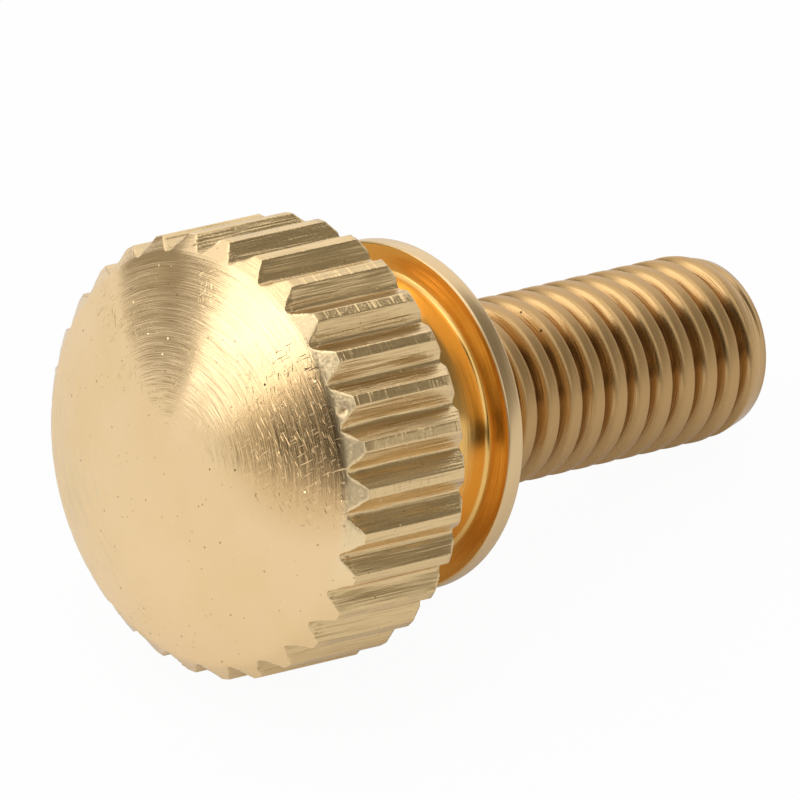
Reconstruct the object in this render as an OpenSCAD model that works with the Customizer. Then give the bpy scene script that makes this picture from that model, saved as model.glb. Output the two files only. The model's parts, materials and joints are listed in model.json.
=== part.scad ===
// Solid brass thumb screw, lying as it comes to rest on a bench.
//
// It is turned from one bar: a domed head with a straight knurl, a polished
// neck, a thin collar that seats on the work, and a threaded shank.
// It rests on two neighbouring lands of the knurl and on the end of the shank.

/* [Head] */
// Diameter over the knurl's lands
head_d = 11.1; // [8:0.1:20]
// Length of the knurl at full diameter
knurl_len = 3.3; // [1.5:0.05:10]
// Front chamfer on the ends of the lands, at 45 degrees
front_chamfer = 0.4; // [0.2:0.05:0.8]
// Back chamfer on the ends of the lands, at 45 degrees
back_chamfer = 0.22; // [0.1:0.01:0.5]
// Height of the domed front face above its brow
dome_h = 1.13; // [0.6:0.05:2]
// Radius that blends the dome into the front chamfer
brow_r = 0.8; // [0.2:0.05:1.5]

/* [Knurl] */
// Number of flutes around the head
flutes = 30; // [20:1:34]
// Width of the land left between two flutes
land_w = 0.26; // [0.15:0.01:0.4]
// Angle between the two sides of a flute
flute_angle = 96; // [85:1:110]
// Radius at the bottom of a flute
flute_root_r = 0.22; // [0.05:0.01:0.3]

/* [Neck] */
// Diameter of the polished neck behind the knurl
neck_d = 7.35; // [6:0.1:8]
// Length of the neck between the knurl and the collar
neck_len = 2.5; // [1:0.05:6]
// Fillet at both ends of the neck
neck_fillet = 0.3; // [0.05:0.05:0.5]

/* [Collar] */
// Diameter of the collar that seats on the work
collar_d = 8.8; // [8.7:0.05:10]
// Thickness of the collar
collar_t = 0.5; // [0.3:0.05:2]
// Edge break on both rims of the collar, at 45 degrees
collar_edge = 0.07; // [0.03:0.01:0.12]

/* [Shank] */
// Diameter over the crests of the 10-32 UNF thread
thread_d = 4.68; // [3:0.05:6]
// Length of the shank under the collar
shank_len = 10.8; // [6:0.1:30]
// Length of the lead-in taper on the end of the shank
taper_len = 0.7; // [0.2:0.05:1.5]
// Depth of the lead-in taper, down to the flat end
taper_depth = 0.18; // [0.05:0.01:0.4]

/* [Hidden] */
$fn = 120;
cut_over = 0.5; // how far a cutter runs past the metal it cuts

head_r = head_d / 2;
neck_r = neck_d / 2;
collar_r = collar_d / 2;
thread_r = thread_d / 2;

// Places along the screw's own axis, with the collar's seat at 0 and the tip up
collar_front = -collar_t;
knurl_back = collar_front - neck_len;
land_back = knurl_back - back_chamfer;
land_front = land_back - knurl_len;
brow = land_front - front_chamfer;
apex = brow - dome_h;
taper_start = shank_len - taper_len;
tip_r = thread_r - taper_depth;

// Dome: the arc through the apex and the brow
brow_x = head_r - front_chamfer;
dome_r = (brow_x * brow_x + dome_h * dome_h) / (2 * dome_h);
dome_c = [0, apex + dome_r];

// Brow: the centre that lies brow_r inside both the dome's arc and the chamfer
brow_inset = dome_r - brow_r;
chamfer_x = head_r - land_front - brow_r * sqrt(2);
brow_b = chamfer_x - dome_c.y;
brow_z = (-brow_b - sqrt(2 * brow_inset * brow_inset - pow(chamfer_x + dome_c.y, 2))) / 2;
brow_c = [brow_z + chamfer_x, brow_z];
to_dome = (brow_c - dome_c) / norm(brow_c - dome_c);
to_chamfer = [1, -1] / sqrt(2);
brow_corner = brow_c + brow_r * (to_dome + to_chamfer) / (1 + to_dome * to_chamfer);

// Flutes: half angles about the head's axis, and the V's apex and root centre
flute_half = flute_angle / 2;
pitch_half = 180 / flutes;
land_half = asin(land_w / head_d);
edge_half = pitch_half - land_half;
v_apex = head_r * (cos(edge_half) - sin(edge_half) / tan(flute_half));
root_c = v_apex + flute_root_r / sin(flute_half);
v_out = head_r + cut_over;

// Rest: the two lowest lands stand a little nearer the axis than the full radius,
// and the shank comes down on one end or the other of its taper
rest_r = head_r * cos(edge_half);
tilt = min(
    atan((rest_r - thread_r) / (taper_start - land_back)),
    atan((rest_r - tip_r) / (shank_len - land_back))
);
axis_lift = rest_r * cos(tilt) + land_back * sin(tilt);
dome_end = dome_c.y * cos(tilt) - dome_r;
tip_end = shank_len * cos(tilt) + tip_r * sin(tilt);

// Fillet in the corner at the origin, filling the side of +X and +Y
module corner_fill(r) {
    difference() {
        square(r);
        translate([r, r]) circle(r);
    }
}

// Half section of the head, before the flutes are cut
module head_section() {
    slope = front_chamfer + dome_h;
    difference() {
        intersection() {
            polygon([
                [0, apex], [head_r - slope, apex], [head_r, land_front],
                [head_r, land_back], [head_r - back_chamfer, knurl_back], [0, knurl_back]
            ]);
            translate(dome_c) circle(dome_r);
        }
        difference() {
            polygon([
                brow_c + brow_r * to_dome, brow_corner, brow_c + brow_r * to_chamfer
            ]);
            translate(brow_c) circle(brow_r);
        }
    }
}

// Half section of the neck, which runs a little way into the head and the collar
module neck_section() {
    polygon([
        [0, knurl_back - back_chamfer], [neck_r, knurl_back - back_chamfer],
        [neck_r, -collar_t / 2], [0, -collar_t / 2]
    ]);
    translate([neck_r, knurl_back]) corner_fill(neck_fillet);
    translate([neck_r, collar_front]) mirror([0, 1]) corner_fill(neck_fillet);
}

// Half section of the collar
module collar_section() {
    polygon([
        [0, collar_front], [collar_r - collar_edge, collar_front],
        [collar_r, collar_front + collar_edge], [collar_r, -collar_edge],
        [collar_r - collar_edge, 0], [0, 0]
    ]);
}

// Half section of the shank, which starts inside the collar
module shank_section() {
    polygon([
        [0, -collar_t / 2], [thread_r, -collar_t / 2], [thread_r, taper_start],
        [tip_r, shank_len], [0, shank_len]
    ]);
}

// Section of one flute's cutter, pointing along +X
module flute_section() {
    side_x = v_apex + flute_root_r * pow(cos(flute_half), 2) / sin(flute_half);
    side_y = flute_root_r * cos(flute_half);
    out_y = (v_out - v_apex) * tan(flute_half);
    polygon([[side_x, -side_y], [v_out, -out_y], [v_out, out_y], [side_x, side_y]]);
    translate([root_c, 0]) circle(flute_root_r);
}

// The turned blank, upright on its own axis
module blank() {
    rotate_extrude() {
        head_section();
        neck_section();
        collar_section();
        shank_section();
    }
}

// All the knurl's flutes, with one of them on +X
module knurl_cut() {
    translate([0, 0, apex - cut_over])
        linear_extrude(knurl_back - apex + 2 * cut_over)
            for (i = [0 : flutes - 1]) rotate(i * 360 / flutes) flute_section();
}

// Lays the upright screw down on two lands and its tip, centred over the origin
module lay_down() {
    translate([-(dome_end + tip_end) / 2, 0, axis_lift])
        rotate([0, 90 + tilt, 0])
            children();
}

module thumb_screw() {
    color("#d2a968")
        lay_down()
            difference() {
                blank();
                knurl_cut();
            }
}

thumb_screw();
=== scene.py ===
"""A brass thumb screw: a domed knurled head, a polished neck, a thin collar and a thread."""

import json
import math

import bmesh
import bpy
from mathutils import Euler, Matrix, Vector, noise


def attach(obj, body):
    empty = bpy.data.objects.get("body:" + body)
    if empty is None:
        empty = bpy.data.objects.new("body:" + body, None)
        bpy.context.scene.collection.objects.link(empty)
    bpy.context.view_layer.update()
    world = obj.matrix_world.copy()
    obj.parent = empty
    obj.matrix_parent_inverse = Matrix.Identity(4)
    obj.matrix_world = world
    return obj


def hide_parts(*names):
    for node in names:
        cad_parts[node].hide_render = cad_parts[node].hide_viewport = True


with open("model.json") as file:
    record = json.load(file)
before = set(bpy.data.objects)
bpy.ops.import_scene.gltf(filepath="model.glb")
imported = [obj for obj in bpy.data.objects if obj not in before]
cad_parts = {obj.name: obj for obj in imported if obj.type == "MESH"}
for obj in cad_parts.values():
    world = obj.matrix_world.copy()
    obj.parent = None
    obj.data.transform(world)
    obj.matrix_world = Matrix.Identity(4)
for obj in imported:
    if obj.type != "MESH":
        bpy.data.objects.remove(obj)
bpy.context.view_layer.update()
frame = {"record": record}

# Sizes in millimetres. Along the screw, the collar's seat is 0 and the tip is up.
MM = 0.001
HEAD_R = 5.55
KNURL_LEN = 3.3
FRONT_CHAMFER = 0.4
BACK_CHAMFER = 0.22
DOME_H = 1.13
BROW_R = 0.8
FLUTES = 30
LAND_W = 0.26
FLUTE_HALF = math.radians(48)
ROOT_R = 0.13
NECK_R = 3.675
NECK_LEN = 2.5
NECK_FILLET = 0.3
COLLAR_FILLET = 0.16
COLLAR_R = 4.4
COLLAR_T = 0.5
COLLAR_EDGE = 0.07
THREAD_R = 2.34
SHANK_LEN = 10.8
TAPER_LEN = 0.7
TAPER_DEPTH = 0.18
PITCH = 25.4 / 32
CREST_FLAT = 0.19
CREST_ROUND = 0.13
ROOT_ROUND = 0.07
THREAD_STEPS = 120
THREAD_START = math.radians(-103)
RUN_OUT = 0.45

# What counts as one place, and as flat, in the mesh, and the angle from which an edge is sharp
MERGE = 1e-4
FLAT = 0.001
SHARP = math.radians(38)

COLLAR_FRONT = -COLLAR_T
KNURL_BACK = COLLAR_FRONT - NECK_LEN
LAND_BACK = KNURL_BACK - BACK_CHAMFER
LAND_FRONT = LAND_BACK - KNURL_LEN
BROW = LAND_FRONT - FRONT_CHAMFER
APEX = BROW - DOME_H
TAPER_START = SHANK_LEN - TAPER_LEN

# The flute's V: where its sides would meet, the centre of its rounded root, and half its opening
LAND_HALF = math.asin(LAND_W / (2 * HEAD_R))
EDGE_HALF = math.pi / FLUTES - LAND_HALF
V_APEX = HEAD_R * (math.cos(EDGE_HALF) - math.sin(EDGE_HALF) / math.tan(FLUTE_HALF))
ROOT_C = V_APEX + ROOT_R / math.sin(FLUTE_HALF)
ROOT_END = math.atan2(
    ROOT_R * math.cos(FLUTE_HALF),
    V_APEX + ROOT_R * math.cos(FLUTE_HALF) ** 2 / math.sin(FLUTE_HALF),
)

# A round dent on the front chamfer
NICK_R = 0.17
NICK_DEPTH = 0.07
NICK = Matrix.Rotation(math.radians(235.5), 3, "Z") @ Vector((5.3, 0, BROW + 0.15))
NICK_FACING = Vector((NICK.x, NICK.y, -math.hypot(NICK.x, NICK.y))).normalized()

# Where the screw lies: its own axis from the record's mounts, and the middle of the collar's seat
mounts = {mount["name"]: mount for mount in frame["record"]["mounts"]}
shank = mounts["threaded_shank"]
AXIS = Vector(shank["axis"]).normalized()
SEAT = Vector(shank["pos_m"]) / MM - AXIS * TAPER_START / 2
ACROSS = Vector((0, 1, 0)).cross(AXIS)
LIE = Matrix((ACROSS, (0, 1, 0), AXIS)).transposed().to_4x4()
LIE = Matrix.Scale(MM, 4) @ Matrix.Translation(SEAT) @ LIE


def arc(centre, radius, start, end, steps):
    """Points of an arc in the half section, from one angle to another, both ends included."""
    return [
        (
            centre[0] + radius * math.cos(start + (end - start) * i / steps),
            centre[1] + radius * math.sin(start + (end - start) * i / steps),
        )
        for i in range(steps + 1)
    ]


def steps_between(a, b, count):
    """Points on a straight run of the half section, without its two ends."""
    return [
        (a[0] + (b[0] - a[0]) * i / count, a[1] + (b[1] - a[1]) * i / count)
        for i in range(1, count)
    ]


def flute_radius(angle):
    """Distance from the head's axis to the flute's wall, at an angle from the flute's middle."""
    angle = abs(angle)
    if angle < ROOT_END:
        return ROOT_C * math.cos(angle) - math.sqrt(
            ROOT_R**2 - (ROOT_C * math.sin(angle)) ** 2
        )
    return V_APEX * math.sin(FLUTE_HALF) / math.sin(FLUTE_HALF - angle)


def softer_min(a, b, softness):
    """The smaller of two lengths, with the corner between them rounded off."""
    near = max(softness - abs(a - b), 0) / softness
    return min(a, b) - near * near * softness / 4


# Angles of one flute's columns, from its middle to the middle of the land, in degrees
HALF_COLUMNS = (0.0, 0.55, 1.1, 1.6, 2.2, 2.9, 3.5, 4.0, 4.35, 4.6, 4.75, 5.0, 6.0)
COLUMNS = 2 * (len(HALF_COLUMNS) - 1)


def column_angle(index):
    """The angle of a column from its flute's middle, in radians."""
    place = index % COLUMNS
    if place > COLUMNS // 2:
        return -math.radians(HALF_COLUMNS[COLUMNS - place])
    return math.radians(HALF_COLUMNS[place])


def head_outline():
    """Half section of the head, neck and collar, from the dome's middle to the collar's seat."""
    brow_x = HEAD_R - FRONT_CHAMFER
    dome_r = (brow_x**2 + DOME_H**2) / (2 * DOME_H)
    dome_z = APEX + dome_r
    inset = dome_r - BROW_R
    reach = HEAD_R - LAND_FRONT - BROW_R * math.sqrt(2)
    half = (reach - dome_z) / 2
    brow_z = -half - math.sqrt(2 * inset**2 - (reach + dome_z) ** 2) / 2
    brow_c = (brow_z + reach, brow_z)
    lean = math.atan2(brow_c[1] - dome_z, brow_c[0])
    outline = arc((0, dome_z), dome_r, -math.pi / 2, lean, 13)
    outline += arc(brow_c, BROW_R, lean, -math.pi / 4, 9)[1:]
    outline += steps_between(outline[-1], (HEAD_R - 0.03, LAND_FRONT - 0.03), 8)
    outline += [(HEAD_R - s, LAND_FRONT - s) for s in (0.03, 0.012)]
    outline += [(HEAD_R, LAND_FRONT + 0.012)]
    outline += steps_between((HEAD_R, LAND_FRONT), (HEAD_R, LAND_BACK), 10)
    outline += [(HEAD_R, LAND_BACK - 0.01)]
    outline += [(HEAD_R - s, LAND_BACK + s) for s in (0.01, 0.05, 0.1, 0.15, 0.2)]
    outline += [(HEAD_R - BACK_CHAMFER - s, KNURL_BACK) for s in (0.01, 0.04, 0.08, 0.14)]
    outline += steps_between((5.18, KNURL_BACK), (NECK_R + NECK_FILLET, KNURL_BACK), 3)
    neck_front, neck_back = KNURL_BACK + NECK_FILLET, COLLAR_FRONT - COLLAR_FILLET
    front_c = (NECK_R + NECK_FILLET, neck_front)
    back_c = (NECK_R + COLLAR_FILLET, neck_back)
    outline += arc(front_c, NECK_FILLET, -math.pi / 2, -math.pi, 6)
    outline += steps_between((NECK_R, neck_front), (NECK_R, neck_back), 4)
    outline += arc(back_c, COLLAR_FILLET, math.pi, math.pi / 2, 6)
    rim = COLLAR_R - COLLAR_EDGE
    outline += steps_between(outline[-1], (rim, COLLAR_FRONT), 3)
    outline += arc((rim, COLLAR_FRONT + COLLAR_EDGE), COLLAR_EDGE, -math.pi / 2, 0, 4)
    outline += arc((rim, -COLLAR_EDGE), COLLAR_EDGE, 0, math.pi / 2, 4)
    return outline


def thread_outline():
    """Half section of the thread over the whole shank and a little past both ends."""
    slope = math.radians(30)
    shoulder = CREST_FLAT / 2 + CREST_ROUND * math.cos(slope)
    crest_drop = CREST_ROUND * (1 - math.sin(slope))
    flank = PITCH / 2 - shoulder - ROOT_ROUND * math.cos(slope)
    root_rise = ROOT_ROUND * (1 - math.sin(slope))
    depth = crest_drop + flank / math.tan(slope) + root_rise
    crest_centre = (CREST_FLAT / 2, THREAD_R - CREST_ROUND)
    one = arc(crest_centre, CREST_ROUND, math.pi / 2, slope, 5)
    down = (shoulder + flank, THREAD_R - depth + root_rise)
    one += steps_between(one[-1], down, 3)
    root_centre = (PITCH / 2, THREAD_R - depth + ROOT_ROUND)
    one += arc(root_centre, ROOT_ROUND, math.pi + slope, 1.5 * math.pi, 3)
    one += [(PITCH - z, r) for z, r in reversed(one[:-1])]
    turns = math.ceil(SHANK_LEN / PITCH) + 2
    outline = []
    for turn in range(-2, turns):
        outline += [(r, z + turn * PITCH) for z, r in one]
    return outline


def add_outline(bm, outline):
    """Lays a half section into the XZ plane as a chain of edges, and returns its geometry."""
    verts = [bm.verts.new((r, 0, z)) for r, z in outline]
    return verts + [bm.edges.new(pair) for pair in zip(verts, verts[1:])]


def ragged(point, scale):
    """Smooth unevenness between about -1 and 1, with lumps of about one over the scale."""
    return noise.noise(Vector(point) * scale) * 1.6


def cut_flutes(bm):
    """Turns the head's columns into lands and flutes, with edges as the tool left them."""
    step = 2 * math.pi / (FLUTES * COLUMNS)
    for vert in bm.verts:
        radius = math.hypot(vert.co.x, vert.co.y)
        if vert.co.z > KNURL_BACK + MERGE or radius < MERGE:
            continue
        turn = math.atan2(vert.co.y, vert.co.x)
        index = round(turn / step) % (FLUTES * COLUMNS)
        middle = index // COLUMNS + (1 if index % COLUMNS > COLUMNS // 2 else 0)
        offset = column_angle(index)
        angle = middle * 2 * math.pi / FLUTES + offset
        place = (HEAD_R * math.cos(angle), HEAD_R * math.sin(angle), vert.co.z)
        wall = flute_radius(offset) if abs(offset) < EDGE_HALF else HEAD_R + 0.05
        wall = min(wall, HEAD_R + 0.05)
        front = min(max((LAND_FRONT + 0.1 - vert.co.z) / 0.2, 0), 1)
        wall += (0.004 + 0.022 * front) * ragged(place, 4.5)
        softness = max(0.018 + 0.014 * ragged(place, 1.7), 0.008)
        lip = max(1 - abs(radius - wall) / 0.045, 0) ** 2 * front
        radius = softer_min(radius, wall, softness)
        radius += 0.035 * lip * max(ragged(place, 3.1), 0)
        vert.co.x, vert.co.y = radius * math.cos(angle), radius * math.sin(angle)
        reach = (vert.co - NICK).length / NICK_R
        if reach < 1:
            vert.co -= NICK_DEPTH * (1 - reach * reach) ** 2 * NICK_FACING


def cut_tip(bm):
    """Turns the lead-in taper on the end of the thread, and lets the groove run out there."""
    for vert in bm.verts:
        radius = math.hypot(vert.co.x, vert.co.y)
        down = (vert.co.z - TAPER_START) * TAPER_DEPTH / TAPER_LEN
        limit = THREAD_R - max(down, 0)
        filled = min(max((vert.co.z - SHANK_LEN + RUN_OUT) / (0.6 * RUN_OUT), 0), 1)
        filled *= filled * (3 - 2 * filled)
        wanted = min(radius + (limit - radius) * filled, limit)
        vert.co.x *= wanted / radius
        vert.co.y *= wanted / radius


def open_edges(bm, height):
    """The open edges of a mesh that lie at one height along the screw."""
    return [
        e
        for e in bm.edges
        if e.is_boundary and all(abs(v.co.z - height) < MERGE for v in e.verts)
    ]


def everything(bm):
    return bm.verts[:] + bm.edges[:] + bm.faces[:]


def make_thread(bm):
    """Winds the thread's half section into a right-hand screw and trims it to the shank."""
    wound = add_outline(bm, thread_outline())
    bmesh.ops.spin(
        bm,
        geom=wound,
        axis=(0, 0, 1),
        angle=2 * math.pi,
        dvec=(0, 0, PITCH / THREAD_STEPS),
        steps=THREAD_STEPS,
    )
    bmesh.ops.remove_doubles(bm, verts=bm.verts, dist=MERGE)
    bmesh.ops.rotate(
        bm, verts=bm.verts, matrix=Matrix.Rotation(THREAD_START, 4, "Z")
    )
    cut_tip(bm)
    for height, outer in ((0, False), (SHANK_LEN, True)):
        bmesh.ops.bisect_plane(
            bm,
            geom=everything(bm),
            plane_co=(0, 0, height),
            plane_no=(0, 0, 1),
            clear_outer=outer,
            clear_inner=not outer,
        )
    bmesh.ops.holes_fill(bm, edges=open_edges(bm, SHANK_LEN))


# The screw's finishes, in the order of its materials
DOME, KNURL, NECK, THREAD, COLLAR = range(5)


def finish_of(face):
    """Which finish a face of the screw gets."""
    middle = face.calc_center_median()
    if middle.z > FLAT:
        return THREAD
    rim = math.hypot(middle.x, middle.y) > COLLAR_R - 0.05
    if middle.z > -FLAT or (rim and middle.z > COLLAR_FRONT):
        return COLLAR
    if middle.z > KNURL_BACK + 0.01:
        return NECK
    if middle.z > KNURL_BACK - 0.01:
        return COLLAR
    along_axis = abs(face.normal.z) < 0.35
    return KNURL if middle.z > LAND_BACK or along_axis else DOME


def make_screw():
    """The whole screw as one closed shape, laid down where the CAD solid lies."""
    bm = bmesh.new()
    chain = add_outline(bm, head_outline())
    bmesh.ops.spin(
        bm,
        geom=chain,
        axis=(0, 0, 1),
        angle=2 * math.pi,
        steps=FLUTES * COLUMNS,
        use_merge=True,
    )
    bmesh.ops.remove_doubles(bm, verts=bm.verts, dist=MERGE)
    cut_flutes(bm)
    bmesh.ops.remove_doubles(bm, verts=bm.verts, dist=MERGE)

    thread = bmesh.new()
    make_thread(thread)
    scrap = bpy.data.meshes.new("thread")
    thread.to_mesh(scrap)
    thread.free()
    bm.from_mesh(scrap)
    bpy.data.meshes.remove(scrap)

    bmesh.ops.triangle_fill(
        bm, use_beauty=True, edges=open_edges(bm, 0), normal=(0, 0, 1)
    )
    bmesh.ops.dissolve_degenerate(bm, edges=bm.edges, dist=MERGE)
    bmesh.ops.recalc_face_normals(bm, faces=bm.faces)
    for face in bm.faces:
        height = face.calc_center_median().z
        face.smooth = abs(height) >= FLAT and height < SHANK_LEN - FLAT
        face.material_index = finish_of(face)
    for edge in bm.edges:
        edge.smooth = edge.calc_face_angle(0) < SHARP
    bmesh.ops.transform(bm, matrix=LIE, verts=bm.verts)
    mesh = bpy.data.meshes.new("brass_screw")
    bm.to_mesh(mesh)
    bm.free()
    screw = bpy.data.objects.new("brass_screw", mesh)
    bpy.context.scene.collection.objects.link(screw)
    return screw


screw = make_screw()


class Socket:
    """A node's output that takes part in Python arithmetic."""

    def __init__(self, finish, output):
        self.finish = finish
        self.output = output

    def math(self, operation, *values):
        return self.finish.node("ShaderNodeMath", {"operation": operation}, values)

    def __add__(self, other):
        return self.math("ADD", self, other)

    def __sub__(self, other):
        return self.math("SUBTRACT", self, other)

    def __rsub__(self, other):
        return self.math("SUBTRACT", other, self)

    def __mul__(self, other):
        return self.math("MULTIPLY", self, other)

    def __truediv__(self, other):
        return self.math("DIVIDE", self, other)

    __radd__ = __add__
    __rmul__ = __mul__

    def step(self, low, high):
        """0 below low and 1 above high, or the other way round, with a soft rise between."""
        settings = {"interpolation_type": "SMOOTHSTEP"}
        if low < high:
            return self.finish.node("ShaderNodeMapRange", settings, (self, low, high))
        return 1 - self.step(high, low)


class Finish:
    """A material, built node by node."""

    def __init__(self, name, owner=None):
        self.material = owner or bpy.data.materials.new(name)
        self.material.use_nodes = True
        self.tree = self.material.node_tree
        self.shader = self.tree.nodes.get("Principled BSDF")

    def node(self, kind, settings=None, inputs=(), output=0):
        """Adds a node, sets it up, feeds its sockets and returns one of its outputs."""
        made = self.tree.nodes.new(kind)
        for name, value in (settings or {}).items():
            setattr(made, name, value)
        pairs = inputs.items() if isinstance(inputs, dict) else enumerate(inputs)
        for name, value in pairs:
            self.feed(made.inputs[name], value)
        return Socket(self, made.outputs[output])

    def feed(self, socket, value):
        if isinstance(value, Socket):
            self.tree.links.new(value.output, socket)
        else:
            socket.default_value = value

    def vector(self, operation, *values):
        """A Vector Math node. Its numbers come out of the second output."""
        numbers = ("DOT_PRODUCT", "LENGTH", "DISTANCE")
        settings = {"operation": operation}
        return self.node("ShaderNodeVectorMath", settings, values, operation in numbers)

    def scaled(self, vector, factor):
        settings = {"operation": "SCALE"}
        return self.node("ShaderNodeVectorMath", settings, {0: vector, 3: factor})

    def noise(self, place, scale=1.0, detail=0.0):
        return self.node("ShaderNodeTexNoise", None, {0: place, 2: scale, 3: detail})

    def colour(self, factor, first, second):
        """A Mix node for two colours."""
        settings = {"data_type": "RGBA"}
        return self.node("ShaderNodeMix", settings, {0: factor, 6: first, 7: second}, 2)

    def set(self, name, value):
        self.feed(self.shader.inputs[name], value)


class Brass(Finish):
    """Brass, with the places and directions on the screw that its tool marks follow."""

    def __init__(self, name, roughness, colour):
        super().__init__(name)
        self.set("Metallic", 1.0)
        self.set("Roughness", roughness)
        self.set("Base Color", colour)
        spot = self.node("ShaderNodeTexCoord", output="Object")
        self.spot = self.vector("SUBTRACT", self.scaled(spot, 1 / MM), SEAT)
        self.along = self.vector("DOT_PRODUCT", self.spot, AXIS)
        self.out = self.vector(
            "SUBTRACT", self.spot, self.scaled(AXIS, self.along)
        )
        self.radius = self.vector("LENGTH", self.out)
        self.outward = self.vector("NORMALIZE", self.out)
        self.round = self.vector("CROSS_PRODUCT", AXIS, self.outward)
        self.normal = self.node("ShaderNodeNewGeometry", output="Normal")

    def ring_noise(self, pitch, spread=1.0, detail=0.0, rise=1.7):
        """Noise in rings about the screw's axis, as a lathe tool leaves it."""
        run = (self.radius + self.along * rise) * (1 / pitch)
        place = self.vector(
            "ADD", self.scaled(self.outward, spread), self.scaled(AXIS, run)
        )
        return self.noise(place, 1.0, detail)

    def streak_noise(self, pitch, run=0.3, detail=0.0):
        """Noise in straight streaks along the screw, as a knurling wheel leaves it."""
        place = self.vector(
            "ADD",
            self.scaled(self.out, 1 / pitch),
            self.scaled(AXIS, self.along * run),
        )
        return self.noise(place, 1.0, detail)

    def tip_normal(self, *leans):
        """Tips the surface's normal along each direction by its amount."""
        normal = self.normal
        for direction, amount in leans:
            normal = self.vector("ADD", normal, self.scaled(direction, amount))
        self.set("Normal", self.vector("NORMALIZE", normal))


NICK_SPOT = NICK.x * ACROSS + NICK.y * Vector((0, 1, 0)) + NICK.z * AXIS
# The side of the dome that has been knocked about most
KNOCKED_TURN = math.radians(243)
KNOCKED = 4.4 * math.cos(KNOCKED_TURN) * ACROSS + 4.4 * math.sin(KNOCKED_TURN) * Vector((0, 1, 0))
DOME_COLOUR = (0.95, 0.7, 0.4, 1)
KNURL_COLOUR = (0.82, 0.605, 0.32, 1)
# Painted reflection: the neck's deeper orange stands in for light bounced between the head, the
# neck and the collar
NECK_BOUNCE_COLOUR = (0.87, 0.53, 0.165, 1)
COLLAR_COLOUR = (0.77, 0.56, 0.31, 1)
# Painted shade: the thread's brass is darker than the head's, standing in for the thread getting
# less light
THREAD_SHADED_COLOUR = (0.57, 0.365, 0.16, 1)
STAINED_COLOUR = (0.92, 0.67, 0.35, 1)
TARNISH_COLOUR = (0.72, 0.44, 0.17, 1)
CHAMFER_COLOUR = (1.0, 0.78, 0.46, 1)
# Real pits and specks, and painted shade in the round dent on the front chamfer
PIT_AND_DENT_SHADE_COLOUR = (0.32, 0.19, 0.08, 1)
STREAK_COLOUR = (0.42, 0.28, 0.13, 1)
# Painted shade for the bottom of the thread's groove
GROOVE_SHADE_COLOUR = (0.2, 0.1, 0.035, 1)


def scratches(finish, turn, length, width):
    """1 on short straight scratches that run one way, and 0 elsewhere."""
    settings = {"rotation_type": "EULER_XYZ"}
    spot = finish.node(
        "ShaderNodeVectorRotate", settings, {"Vector": finish.spot, "Rotation": turn}
    )
    scale = (1 / length, 1 / width, 1 / length)
    grain = finish.noise(finish.vector("MULTIPLY", spot, scale))
    return grain.step(0.72, 0.77)


def nicks(finish, scale, size, share):
    """Small round dents: how deep the surface is in one, and which way it leans there."""
    settings = {"feature": "F1"}
    inputs = {"Vector": finish.spot, "Scale": scale}
    reach = finish.node("ShaderNodeTexVoronoi", settings, inputs)
    pick = finish.node("ShaderNodeTexVoronoi", settings, inputs, 1)
    chance = finish.vector("DOT_PRODUCT", pick, (1, 0, 0))
    inside = reach.step(size, size * 0.4) * chance.step(1 - share, 1.02 - share)
    way = finish.vector("SUBTRACT", pick, (0.5, 0.5, 0.5))
    return inside, finish.vector("MULTIPLY", way, (0, 1.3, 1.3))


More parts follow.
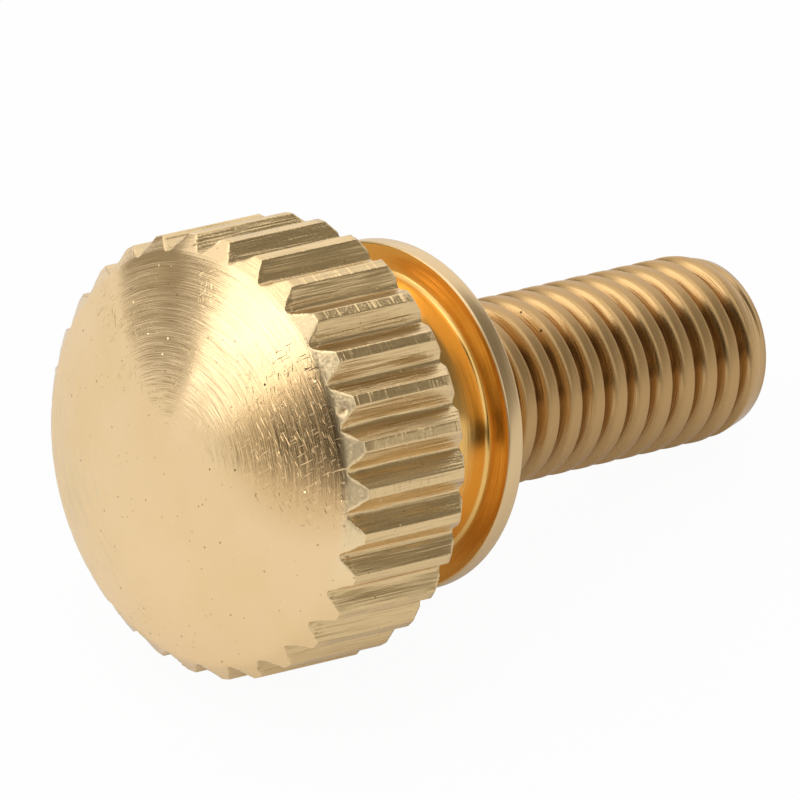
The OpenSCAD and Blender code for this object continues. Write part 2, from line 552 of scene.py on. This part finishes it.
def dome_finish():
    finish = Brass("turned_dome", 0.13, DOME_COLOUR)
    uphill = finish.vector("CROSS_PRODUCT", finish.round, finish.normal)
    outer = finish.radius.step(1.2, 4.8)
    knocked = finish.vector("DISTANCE", finish.out, KNOCKED).step(2.9, 1.2)
    worn = finish.noise(finish.spot, 0.55, 1.0).step(0.45, 0.62)
    worn = worn.math("MAXIMUM", worn * 0.1, knocked)
    near = finish.vector("DISTANCE", finish.out, KNOCKED).step(4.8, 1.8)
    chamfer = finish.along.step(BROW - 0.06, BROW + 0.12) * near
    finish.set("Roughness", 0.14 + 0.08 * knocked + 0.2 * chamfer)
    rings = (finish.ring_noise(0.09, 0.8, 1.0) - 0.5) * 0.08
    rings = rings + (finish.ring_noise(0.03, 1.0) - 0.5) * 0.13
    rings = rings * (outer * (0.07 + 0.93 * worn))
    blur = finish.ring_noise(0.0055, 3.0) - 0.5
    blur = blur * (0.3 + 0.8 * finish.radius.step(0.7, 4.0)) * (1 - 0.4 * knocked)
    grain = finish.noise(finish.spot, 13.0, 1.0) - 0.5
    leans = [
        (uphill, (rings + blur) * (1 - chamfer) + grain * (0.03 + 0.3 * chamfer)),
        (finish.round, grain * (0.03 + 0.3 * chamfer)),
    ]
    rubbed = finish.noise(finish.spot, 0.8, 1.0).step(0.52, 0.64) * 0.3
    rubbed = rubbed.math("MAXIMUM", rubbed, knocked * 0.45)
    turns = ((0.2, 0.5, 0.9), (1.1, -0.4, 2.3), (0.7, 1.3, 0.2))
    bright = 0.3 * chamfer
    for turn, lean in zip(turns, (0.42, -0.4, 0.4)):
        lines = scratches(finish, turn, 0.3, 0.022) * rubbed
        leans.append((finish.round, lines * lean))
        bright = bright.math("MAXIMUM", bright, lines)
    dent, way = nicks(finish, 5.5, 0.22, 0.2)
    leans.append((way, dent * (0.4 + 1.6 * knocked)))
    finish.tip_normal(*leans)
    pit, _ = nicks(finish, 2.3, 0.1, 0.6)
    speck, _ = nicks(finish, 4.5, 0.14, 0.4)
    dark_marks = pit.math("MAXIMUM", pit * 0.65, speck * 0.5)
    # Painted shade: the inside of the round dent on the front chamfer is darkened, on top of the
    # real pits and specks
    dent_shade = finish.vector("DISTANCE", finish.spot, NICK_SPOT).step(0.13, 0.05)
    dark_marks = dark_marks.math("MAXIMUM", dark_marks, dent_shade * 0.8)
    stain = finish.noise(finish.spot, 0.4, 2.0).step(0.35, 0.75)
    colour = finish.colour(stain, DOME_COLOUR, STAINED_COLOUR)
    tarnish = knocked * (1 - bright) * (1 - chamfer) * (1 - dent)
    colour = finish.colour(tarnish * 0.55, colour, TARNISH_COLOUR)
    colour = finish.colour(chamfer, colour, CHAMFER_COLOUR)
    finish.set("Base Color", finish.colour(dark_marks, colour, PIT_AND_DENT_SHADE_COLOUR))
    return finish


def knurl_finish():
    finish = Brass("knurl", 0.3, KNURL_COLOUR)
    uphill = finish.vector("CROSS_PRODUCT", finish.round, finish.normal)
    sideways = finish.vector("CROSS_PRODUCT", AXIS, finish.normal)
    land = finish.radius.step(HEAD_R - 0.03, HEAD_R - 0.01)
    ticks = finish.ring_noise(0.1, 5.0).step(0.6, 0.68)
    marks = ticks * 0.4 + (finish.ring_noise(0.05, 8.0) - 0.5) * 0.1
    streaks = (finish.streak_noise(0.06, 0.5) - 0.5) * 0.5
    streaks = streaks + (finish.streak_noise(0.022, 0.6) - 0.5) * 0.6
    streaks = streaks + (finish.streak_noise(0.006) - 0.5) * 0.6
    grain = (finish.noise(finish.spot, 22.0, 2.0) - 0.5) * 0.8
    dent, way = nicks(finish, 4.5, 0.2, 0.1)
    finish.tip_normal(
        (uphill, marks * land + grain),
        (sideways, streaks * (1 - land) + grain * 0.5),
        (way, dent * 1.1),
    )
    deep = finish.streak_noise(0.035, 0.6, 2.0).step(0.52, 0.7)
    speck, _ = nicks(finish, 3.6, 0.16, 0.2)
    dark_marks = deep.math("MAXIMUM", deep * 0.42, speck * 0.65)
    finish.set("Base Color", finish.colour(dark_marks, KNURL_COLOUR, STREAK_COLOUR))
    return finish


def neck_finish():
    finish = Brass("polished_neck", 0.19, NECK_BOUNCE_COLOUR)
    uphill = finish.vector("CROSS_PRODUCT", finish.round, finish.normal)
    marks = (finish.ring_noise(0.06, 1.0) - 0.5) * 0.06
    marks = marks + (finish.ring_noise(0.012, 2.0) - 0.5) * 0.25
    finish.tip_normal((uphill, marks))
    return finish


def thread_finish():
    finish = Brass("cut_thread", 0.22, THREAD_SHADED_COLOUR)
    finish.set("Roughness", 0.2 + 0.25 * finish.radius.step(THREAD_R - 0.1, THREAD_R - 0.02))
    # Painted shade: the thread's colour darkens towards the root of its groove
    groove_shade = finish.radius.step(THREAD_R - 0.08, THREAD_R - 0.3) * 0.6
    finish.set("Base Color", finish.colour(groove_shade, THREAD_SHADED_COLOUR, GROOVE_SHADE_COLOUR))
    uphill = finish.vector("CROSS_PRODUCT", finish.round, finish.normal)
    marks = (finish.ring_noise(0.03, 1.0, rise=0.6) - 0.5) * 0.15
    marks = marks + (finish.ring_noise(0.008, 2.0, rise=0.6) - 0.5) * 0.4
    dent, way = nicks(finish, 4.0, 0.2, 0.08)
    finish.tip_normal((uphill, marks), (way, dent * 0.9))
    return finish


def collar_finish():
    finish = Brass("collar_rim", 0.3, COLLAR_COLOUR)
    uphill = finish.vector("CROSS_PRODUCT", finish.round, finish.normal)
    marks = (finish.ring_noise(0.05, 1.0) - 0.5) * 0.1
    marks = marks + (finish.ring_noise(0.012, 2.0) - 0.5) * 0.3
    finish.tip_normal((uphill, marks))
    return finish


for finish in (dome_finish(), knurl_finish(), neck_finish(), thread_finish(), collar_finish()):
    screw.data.materials.append(finish.material)

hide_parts("thumb_screw")
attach(screw, "root")

# Floor, which a direct look finds white and a mirroring surface nearly so
SEEN_WHITE = 0.96
MIRRORED_WHITE = 0.3
bpy.ops.mesh.primitive_plane_add(size=2)
floor = bpy.context.object
floor.name = "floor"
paper = Finish("paper")
paper.set("Base Color", (0.86, 0.86, 0.86, 1))
paper.set("Roughness", 1.0)
paper.set("Specular IOR Level", 0.0)
sight = paper.node("ShaderNodeLightPath", output="Is Camera Ray") * SEEN_WHITE
sight = sight + paper.node("ShaderNodeLightPath", output="Is Glossy Ray") * MIRRORED_WHITE
through = paper.node("ShaderNodeLightPath", output="Is Transmission Ray")
sight = sight + through * MIRRORED_WHITE
white = paper.node("ShaderNodeEmission", None, {"Strength": 1.0})
lit = Socket(paper, paper.shader.outputs[0])
shown = paper.node("ShaderNodeMixShader", None, (sight.math("MINIMUM", sight, 1), lit, white))
paper.feed(paper.tree.nodes["Material Output"].inputs[0], shown)
floor.data.materials.append(paper.material)

# Camera: a long lens that looks down on the screw, past its head
LENS = 1160.84475
LOOKS_DOWN, LOOKS_ROUND, LEANS = 31.22982, -42.90389, -1.37566
STANDS_BACK = (-0.959358, -0.50521, 637.044)
AIM_HEIGHT = 5
camera_data = bpy.data.cameras.new("camera")
camera_data.lens = LENS
camera = bpy.data.objects.new("camera", camera_data)
bpy.context.scene.collection.objects.link(camera)
camera.matrix_world = (
    Matrix.Translation((0, 0, AIM_HEIGHT * MM))
    @ Euler((math.radians(90 - LOOKS_DOWN), 0, math.radians(LOOKS_ROUND))).to_matrix().to_4x4()
    @ Matrix.Rotation(math.radians(LEANS), 4, "Z")
    @ Matrix.Translation([step * MM for step in STANDS_BACK])
)
bpy.context.scene.camera = camera

# Studio: a plain level, brighter overhead and on the window's side, with panels and dark cards
PLAIN_LEVEL = 0.13
WINDOW_LEVEL = 0.93
OVERHEAD_LEVEL = 1.7


def toward(azimuth, elevation):
    azimuth, elevation = math.radians(azimuth), math.radians(elevation)
    level = math.cos(elevation)
    return Vector((level * math.sin(azimuth), level * math.cos(azimuth), math.sin(elevation)))


def panel(studio, view, azimuth, elevation, half_width, half_height):
    """1 inside a flat panel of the studio that faces the screw, and 0 outside it."""
    middle = toward(azimuth, elevation)
    side = Vector((0, 0, 1)).cross(middle).normalized()
    rise = middle.cross(side)
    depth = studio.vector("DOT_PRODUCT", view, middle)
    reach = depth.math("MAXIMUM", depth, 0.001)
    wide = studio.vector("DOT_PRODUCT", view, side) / reach / half_width
    high = studio.vector("DOT_PRODUCT", view, rise) / reach / half_height
    edge = wide.math("MAXIMUM", wide.math("ABSOLUTE", wide), high.math("ABSOLUTE", high))
    return edge.step(1.05, 0.93)


world = bpy.data.worlds.new("studio")
bpy.context.scene.world = world
studio = Finish("studio", world)
view = studio.node("ShaderNodeTexCoord", output="Generated")
height = studio.node("ShaderNodeSeparateXYZ", None, (view,), 2)
level_view = studio.vector("NORMALIZE", studio.vector("MULTIPLY", view, (1, 1, 0)))
window = studio.vector("DOT_PRODUCT", level_view, toward(20, 0)).step(-0.6, 0.6)
level = PLAIN_LEVEL + WINDOW_LEVEL * window
level = level + (OVERHEAD_LEVEL - level) * height.step(0.88, 0.97)
# Each panel's azimuth and elevation, half its width and height at unit distance, and its level
PANELS = (
    (250, 49.4, 3.02, 0.51, 0.97),
    (298, 31.4, 0.36, 0.37, 2.14),
    (248.5, -32, 1.0, 5.76, 0.03),
    (124, 32, 0.7, 0.36, 0.22),
    (341, 10.8, 0.61, 0.29, 0.31),
    (132, 8, 0.26, 0.15, 0.3),
)
for azimuth, elevation, half_width, half_height, shine in PANELS:
    inside = panel(studio, view, azimuth, elevation, half_width, half_height)
    level = level * (1 - inside) + inside * shine
skyline = height.step(0.045, 0.02)
level = level * (1 - skyline) + skyline
studio.feed(world.node_tree.nodes["Background"].inputs[1], level)
WARM, WHITE = (1, 0.92, 0.74, 1), (1, 1, 1, 1)
tint = studio.colour(level.step(0.1, 0.9), WARM, WHITE)
studio.feed(world.node_tree.nodes["Background"].inputs[0], tint)

scene = bpy.context.scene
scene.view_settings.view_transform = "Standard"
